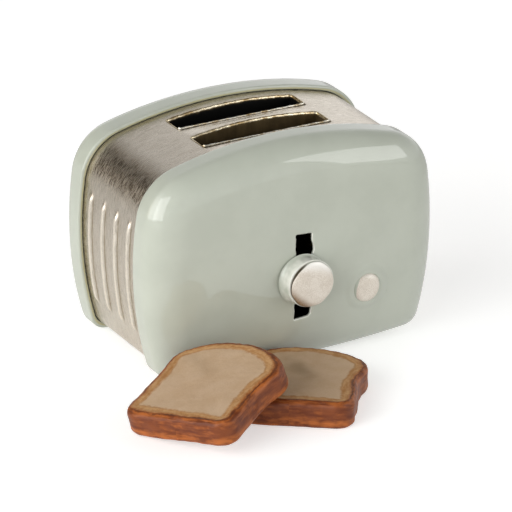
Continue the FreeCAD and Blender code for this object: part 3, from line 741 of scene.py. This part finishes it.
knob_middle = (0.35, 18.7)
knob_foot, knob_end = face_front - 0.25, face_front - 3.0
barrel = [(0, knob_foot), (5.0, knob_foot)] + quarter_round((5.0, knob_foot - 0.08), 0.08, -80, 50, 5)
flare = np.linspace(0, math.pi / 2, 10)[1:]
barrel += np.stack([5.06 - 0.36 * np.sin(flare), knob_foot - 0.14 - 0.9 * (1 - np.cos(flare))], -1).tolist()
barrel += [(4.69, knob_end + 1.0), (4.71, knob_end + 0.5)]
barrel += quarter_round((4.60, knob_end + 0.13), 0.13, 0, 90)
barrel += [(3.8, knob_end), (0, knob_end)]
barrel_marks, barrel_lean = -1.1, -0.5       # painted highlight, then painted shade in the groove under the cap; its foot lies to the left


def barrel_wobble(angle):
    """The barrel is a little out of round: a slow and a quick wave."""
    return 0.004 * np.sin(3 * angle + 1) + 0.003 * np.sin(5 * angle)


make_piece("knob_barrel", turned_part(barrel, knob_middle, barrel_wobble, barrel_marks, barrel_lean),
           sage_enamel, "lever", ["lever_knob"])

cap_back = knob_end - 0.02
cap_profile = [(0, cap_back), (4.40, cap_back)] + quarter_round((4.43, cap_back - 0.17), 0.15, -70, 0, 4)
turn = np.linspace(0, math.pi / 2, 12)
cap_profile += np.stack([3.0 + 1.6 * np.cos(turn), cap_back - 0.24 - 0.56 * np.sin(turn)], -1).tolist()
cap_profile += [(r, cap_back - 0.80 - 0.09 * (1 - (r / 3.0) ** 2)) for r in (2.4, 1.6, 0.8, 0)]


def cap_wobble(angle):
    """Hand-cut edge of the cap: flattened at the upper left, a little at the upper right."""
    flat = 0.11 * np.exp(-((angle - 2.32) / 0.5) ** 2) + 0.035 * np.exp(-((angle - 0.6) / 0.4) ** 2)
    return 0.008 * np.cos(7 * angle + 2) + 0.005 * np.cos(11 * angle) - flat


make_piece("knob_cap", turned_part(cap_profile, knob_middle, cap_wobble),
           hand_silver("cap_silver", knob_middle, (4.9, 4.9), 0.0, paint(196, 198, 186),
                       paint(78, 70, 54), 0.42, 1.0),
           "lever", ["lever_knob_cap"])


# ======== Toast slices ========
# Two cast slices, painted by hand: a tan crumb, a toasted border that runs into a dark line at
# the crust's edge, and glossy brown crust round the sides.

slice_thickness = 5.35
foot_corner, ear_corner = (np.array([[8.45, 3.4]]), 3.4), (np.array([[7.1, 17.7]]), 5.3)
waist_radius, slice_height = 27.0, 25.7


def slice_outline():
    """Half a slice from the middle of its foot to the middle of its top, then mirrored: a straight
    foot, a foot corner, a hollow waist, an ear and a bowed top, all arcs that run into each other."""
    (foot, foot_radius), (ear, ear_radius) = foot_corner, ear_corner
    waist = touching_centre(foot, np.array([foot_radius + waist_radius]),
                            ear, np.array([ear_radius + waist_radius]))
    rise = slice_height - ear[0, 1]
    top_radius = (ear[0, 0] ** 2 + rise**2 - ear_radius**2) / (2 * (rise - ear_radius))
    top = np.array([[0, slice_height - top_radius]])
    whole = 2 * math.pi
    runs = [(foot, foot_radius, np.array([-math.pi / 2]), heading(foot, waist), 12),
            (waist, waist_radius, heading(waist, foot) % whole, heading(waist, ear) % whole, 22),
            (ear, ear_radius, heading(ear, waist), heading(top, ear), 20),
            (top, top_radius, heading(top, ear), np.array([math.pi / 2]), 24)]
    arcs = np.concatenate([arc_points(c, np.array([r]), a, b, n)[0] for c, r, a, b, n in runs])
    line = np.stack([np.linspace(0, foot[0, 0], 19)[:-1], np.zeros(18)], -1)
    right = np.concatenate([line, arcs])
    return np.concatenate([right, [[0, slice_height]], right[::-1] * [-1, 1]]) - [0, slice_height / 2]


def lumps(points, patch, seed):
    """Smooth unevenness, about -1 to 1: the mean of ten plane waves with seeded directions."""
    draw = np.random.default_rng(seed)
    waves = draw.normal(size=(10, 3))
    waves *= (2 * math.pi / patch) / np.linalg.norm(waves, axis=1, keepdims=True)
    phase = draw.uniform(0, 2 * math.pi, 10)
    return np.sin(points @ waves.T + phase).mean(-1) * 2.2


def slice_patch(seed):
    """Rows from the middle of the underside over the crust to the middle of the crumb. Near the edge
    a row is the outline moved inward; further in it shrinks towards the middle. Waves and bell
    curves then swell and hollow the sides, sink the crumb and cut a groove along the crust's edge."""
    loop = slice_outline()
    along = np.concatenate([[0], np.cumsum(np.linalg.norm(np.diff(loop, axis=0), axis=1))])
    step = np.roll(loop[:-1], -1, 0) - np.roll(loop[:-1], 1, 0)
    step /= np.linalg.norm(step, axis=1, keepdims=True)
    step = np.concatenate([step, step[:1]])
    out = np.stack([step[:, 1], -step[:, 0]], -1)
    turn = np.linspace(0, math.pi / 2, 9)
    inner, low_round, high_round = 3.4, 1.0, 1.3
    shrunk = np.linspace(0, 1, 12)[:-1] ** 0.7
    side = np.linspace(low_round, slice_thickness - high_round, 9)
    inset = np.concatenate([[inner] * 11, [inner, 2.4, 1.6], low_round * (1 - np.sin(turn)), side[1:-1] * 0,
                            high_round * (1 - np.cos(turn)), [1.55, 1.8, 2.1, 2.5, 2.9, inner], [inner] * 11])
    height = np.concatenate([[0] * 14, low_round * (1 - np.cos(turn)), side[1:-1],
                             slice_thickness - high_round * (1 - np.sin(turn)), [slice_thickness] * 17])
    scale = np.concatenate([shrunk, np.ones(len(inset) - 22), shrunk[::-1]])[:, None, None]
    flat = (loop - out * inset[:, None, None]) * scale
    rows = np.concatenate([flat, np.broadcast_to(height[:, None, None], flat.shape[:2] + (1,))], -1)
    middle = np.array([0, 0, slice_thickness / 2])
    travelled = np.concatenate([[0], np.cumsum(np.linalg.norm(np.diff(rows[:, 40], axis=0), axis=1))])
    edge_row = 14 + 9 + 7 + 6        # underside, lower rounding, side and most of the upper rounding
    across = travelled - travelled[edge_row]
    rim = np.exp(-(across / 1.2) ** 2)[:, None]
    side_share = np.clip((inner - inset) / inner, 0, 1)[:, None]
    swell = 0.16 * lumps(rows, 7.0, seed) + 0.07 * lumps(rows, 2.2, seed + 1)
    nip = 0.12 * rim * lumps(rows, 1.5, seed + 2)
    x, y = rows[..., 0], rows[..., 1]
    fuller = np.clip(-x / 3, 0, 1) * (0.6 * np.exp(-((y + 4) / 4) ** 2)
                                      - 0.5 * np.exp(-((y - 5.5) / 3.5) ** 2))
    fuller += np.clip(x / 3, 0, 1) * (0.5 * np.exp(-((y - 9) / 4) ** 2) + 0.6 * np.exp(-((y + 5) / 4) ** 2)
                                     - 0.4 * np.exp(-((y + 12.5) / 2) ** 2))
    rows[..., :2] += out * ((swell + nip + fuller - 0.14) * side_share)[..., None]
    on_top = (height > slice_thickness / 2)[:, None] * 1.0
    sink = 0.12 + 0.07 * lumps(rows, 6.0, seed + 3) + 0.025 * lumps(rows, 1.6, seed + 4)
    crack = 0.5 * lumps(rows, 5.0, seed + 6) + 0.25 * lumps(rows, 1.1, seed + 7)
    groove = 0.16 * np.exp(-((across[:, None] - 0.25 * crack) / 0.24) ** 2)
    groove = groove * (1 + 0.7 * lumps(rows, 2.5, seed + 5))
    rows[..., 2] -= on_top * (sink * np.clip(inset / 1.5 - 0.4, 0, 1)[:, None] + groove)
    foot_crust = 0.55 * np.exp(-((loop[:, 1] + slice_height / 2) / 1.5) ** 2)
    uv = np.stack(np.broadcast_arrays(along[None], across[:, None] - foot_crust), -1)
    return rows, uv


def toast(name, seed, painted_shade_patch, painted_shade_patch_at):
    """Painted toast, by distance across the crust's edge (UV): crumb with one painted shade patch, a thin
    traced line, toasted border, dark line, crust that is smoked along its middle."""
    material, bare, where = new_finish(name)
    wrap = bare.node("UVMap", {"uv_map": "along_and_across"})
    across = bare.node("SeparateXYZ", (), {"Vector": wrap}, "Y")
    drift, fleck = cloud(where, 5.0, 3, seed=seed), cloud(where, 0.7, 4, 0.65, seed)
    pores, strokes = cloud(where, 0.28, 3, 0.6, seed), cloud(stretched(wrap, 4.5, 0.9, 1), 1.0, 3, 0.6, seed)
    dabs = cloud(where, 2.4, 3, 0.55, seed + 3)
    warped = across + 1.6 * (drift - 0.5) + 0.9 * (fleck - 0.5)
    crumb_tone = between(drift * 0.5 + dabs * 0.2 + pores * 0.3, 0.38, 0.62)
    crumb = blended(crumb_tone, paint(191, 161, 129), paint(200, 172, 142))
    border_tone = between(strokes * 0.6 + fleck * 0.4, 0.36, 0.64)
    border = blended(border_tone, paint(166, 114, 64), paint(198, 156, 108))
    crust_tone = between(dabs * 0.3 + strokes * 0.5 + drift * 0.2, 0.40, 0.60)
    crust = blended(crust_tone, paint(108, 50, 18), paint(182, 102, 46))
    border = blended(between(warped, 0.2, 0.9), paint(166, 104, 54), border)
    traced = between(warped, 1.5, 1.8) * between(warped, 1.8, 2.15, 1, 0) * between(strokes, 0.42, 0.6)
    # A darker patch on the crumb: painted shade.
    apart = where.node("VectorMath", {"operation": "SUBTRACT"}, {0: where, 1: painted_shade_patch_at})
    apart = where.node("VectorMath", {"operation": "MULTIPLY"}, {0: apart, 1: (1 / 3.2, 1 / 8, 1 / 8)})
    apart = where.node("VectorMath", {"operation": "LENGTH"}, {0: apart}, "Value")
    crumb = blended(between(apart + 0.6 * (drift - 0.5), 0.0, 1.0, painted_shade_patch, 0.0), crumb, paint(104, 86, 58))
    top = blended(traced * 0.6, blended(between(warped, 1.55, 2.25), border, crumb), paint(150, 104, 58))
    whole = blended(between(warped, -0.1, 0.5), crust, top)
    line = between(warped, -0.35, -0.05) * (1 - between(warped, 0.05, 0.35))
    line = line * between(fleck * 0.4 + dabs * 0.6, 0.38, 0.52)
    middle = (across + 2.7).maths("ABSOLUTE", across + 2.7)
    smoked = between(dabs * 0.6 + drift * 0.4, 0.40, 0.54) * between(middle, 0.8, 2.0, 1, 0)
    coloured = blended(line * 0.75, blended(smoked * 0.7, whole, paint(98, 44, 24)), paint(78, 40, 20))
    shine = 1 - between(warped, 0.2, 1.8)
    bump = raised(pores, 0.03, raised(strokes, 0.06, raised(dabs, 0.12)))
    done(bare, Base_Color=coloured, Metallic=0.0, Roughness=0.62 - 0.16 * shine + 0.1 * fleck,
         Specular_IOR_Level=0.25, Coat_Weight=0.15 * shine, Coat_Roughness=0.25, Normal=bump)
    return material


def lay_slice(name, turn, lean, seed, shift, painted_shade_patch, painted_shade_patch_at):
    """Turns a slice about the vertical, leans it, and lays it where its solid lies, moved a little."""
    rows, uv = slice_patch(seed)
    pose = Matrix.Rotation(math.radians(-lean), 3, "Y") @ Matrix.Rotation(math.radians(turn), 3, "Z")
    rows = rows @ np.array(pose).T
    corners = rows.reshape(-1, 3)
    low, high = (np.array(corner) * 1000 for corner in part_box(name))
    rows += (low + high) / 2 - (corners.min(0) + corners.max(0)) / 2 + [*shift, 0]
    rows[..., 2] += low[2] - rows[..., 2].min()
    finish = toast(name + "_paint", seed, painted_shade_patch, painted_shade_patch_at)
    make_piece(name.replace("bread", "toast"), [(rows, uv, None)], finish,
               name.replace("bread_slice", "toast"), [name])


# The right slice's patch is the painted shadow of the left slice.
lay_slice("bread_slice_right", -37.2, 0.0, 11, (0.7, 0.6), 0.42, (-5.7, -30.0, 5.2))
lay_slice("bread_slice_left", -62.0, 16.4, 23, (0.05, 0.4), 0.12, (-26.0, -28.0, 10.5))


# ======== Table, lights and camera ========
# A pale table in a white room whose ceiling is dim, with a bright wall on the left, a dark one
# behind on the left and a paler one behind on the right, two soft lights in front, and a long
# lens a metre away.

table_mesh = bpy.data.meshes.new("table")
table_mesh.from_pydata([(-3, -3, 0), (3, -3, 0), (3, 3, 0), (-3, 3, 0)], [], [(0, 1, 2, 3)])
table = bpy.data.objects.new("table", table_mesh)
bpy.context.scene.collection.objects.link(table)
table_finish, bare, where = new_finish("table_paper")
# Reflections see less of the table's glow near the toaster: painted shade on the table round it.
near = between(where.node("VectorMath", {"operation": "LENGTH"}, {0: where}, "Value"), 60, 160, 0.6, 0.0)
seen = (bare.node("LightPath", out="Is Camera Ray") + bare.node("LightPath", out="Is Glossy Ray") * near
        + bare.node("LightPath", out="Is Diffuse Ray") * 0.14)
paper = bare.node("BsdfPrincipled", (), {"Base Color": (0.86, 0.86, 0.85, 1), "Roughness": 0.9,
                                         "Emission Color": (1, 1, 1, 1), "Emission Strength": 0.0})
glow = bare.node("Emission", (), {"Color": (1, 1, 1, 1), "Strength": 0.5})
lit = bare.node("AddShader", (), {0: paper, 1: glow})
bare.node("OutputMaterial", (), {"Surface": bare.node("MixShader", (), {0: seen, 1: paper, 2: lit})})
table_mesh.materials.append(table_finish)

world = bpy.data.worlds.new("studio")
bpy.context.scene.world = world
world.use_nodes = True
world.node_tree.nodes.clear()
room = Tone(world.node_tree)
direction = room.node("TexCoord", out="Generated")
height = room.node("SeparateXYZ", (), {"Vector": direction}, "Z")


def towards(x, y, z):
    """How squarely a direction in the room points along (x, y, z)."""
    return room.node("VectorMath", {"operation": "DOT_PRODUCT"}, {0: direction, 1: (x, y, z)}, "Value")


dark = between(towards(-0.53, 0.82, 0.19), 0.77, 0.95)
room_light = between(height, 0.05, 0.9, 0.90, 0.17) * (1 - 0.9 * dark)
behind_right = between(towards(0.58, 0.80, 0.15), 0.6, 1.0, 0.0, 0.31)
left_wall = between(towards(-0.96, 0.10, 0.22), 0.72, 1.0, 0.0, 2.3)
room_light = room_light + behind_right + left_wall
tint = blended(dark, (1.0, 1.0, 1.0, 1.0), (1.0, 0.86, 0.70, 1.0))
walls = room.node("Background", (), {"Color": tint, "Strength": room_light})
white = room.node("Background", (), {"Color": (1, 1, 1, 1), "Strength": 1.0})
mixed = room.node("MixShader", (), {0: room.node("LightPath", out="Is Camera Ray"), 1: walls, 2: white})
room.node("OutputWorld", (), {"Surface": mixed})


def soft_light(name, direction, distance, size, radiance):
    """A soft light that looks at the toaster from a direction."""
    lamp = bpy.data.lights.new(name, "AREA")
    lamp.shape, lamp.size, lamp.size_y = "RECTANGLE", size[0], size[1]
    lamp.energy = radiance * math.pi * size[0] * size[1]
    body = bpy.data.objects.new(name, lamp)
    bpy.context.scene.collection.objects.link(body)
    away = Vector(direction).normalized()
    body.location = Vector((0, 0, 0.02)) + away * distance
    body.rotation_euler = away.to_track_quat("Z", "Y").to_euler()


soft_light("window_light", (-0.81, -0.46, 0.38), 0.6, (0.39, 0.42), 2.66)
soft_light("right_light", (0.66, -0.68, 0.34), 0.6, (0.30, 0.28), 2.2)

camera_turn, camera_rise, camera_roll = map(math.radians, (28.92, 23.52, 0.2))
camera_distance, aim = 1.04266, Vector((0.00143, 0.0, 0.0151))
focal_pixels, picture_width, sensor_width = 5454.08, 512, 36.0
away = Vector((-math.sin(camera_turn) * math.cos(camera_rise), -math.cos(camera_turn) * math.cos(camera_rise),
               math.sin(camera_rise)))
level = Vector((math.cos(camera_turn), -math.sin(camera_turn), 0))
up = away.cross(level)
right_axis = level * math.cos(camera_roll) + up * math.sin(camera_roll)
up_axis = up * math.cos(camera_roll) - level * math.sin(camera_roll)
lens = bpy.data.cameras.new("camera")
lens.sensor_width, lens.lens = sensor_width, focal_pixels / picture_width * sensor_width
lens.clip_start, lens.clip_end = 0.05, 20
camera = bpy.data.objects.new("camera", lens)
bpy.context.scene.collection.objects.link(camera)
camera.matrix_world = Matrix.Translation(aim + away * camera_distance) @ Matrix(
    (right_axis, up_axis, away)).transposed().to_4x4()
bpy.context.scene.camera = camera
bpy.context.scene.view_settings.view_transform = "Standard"
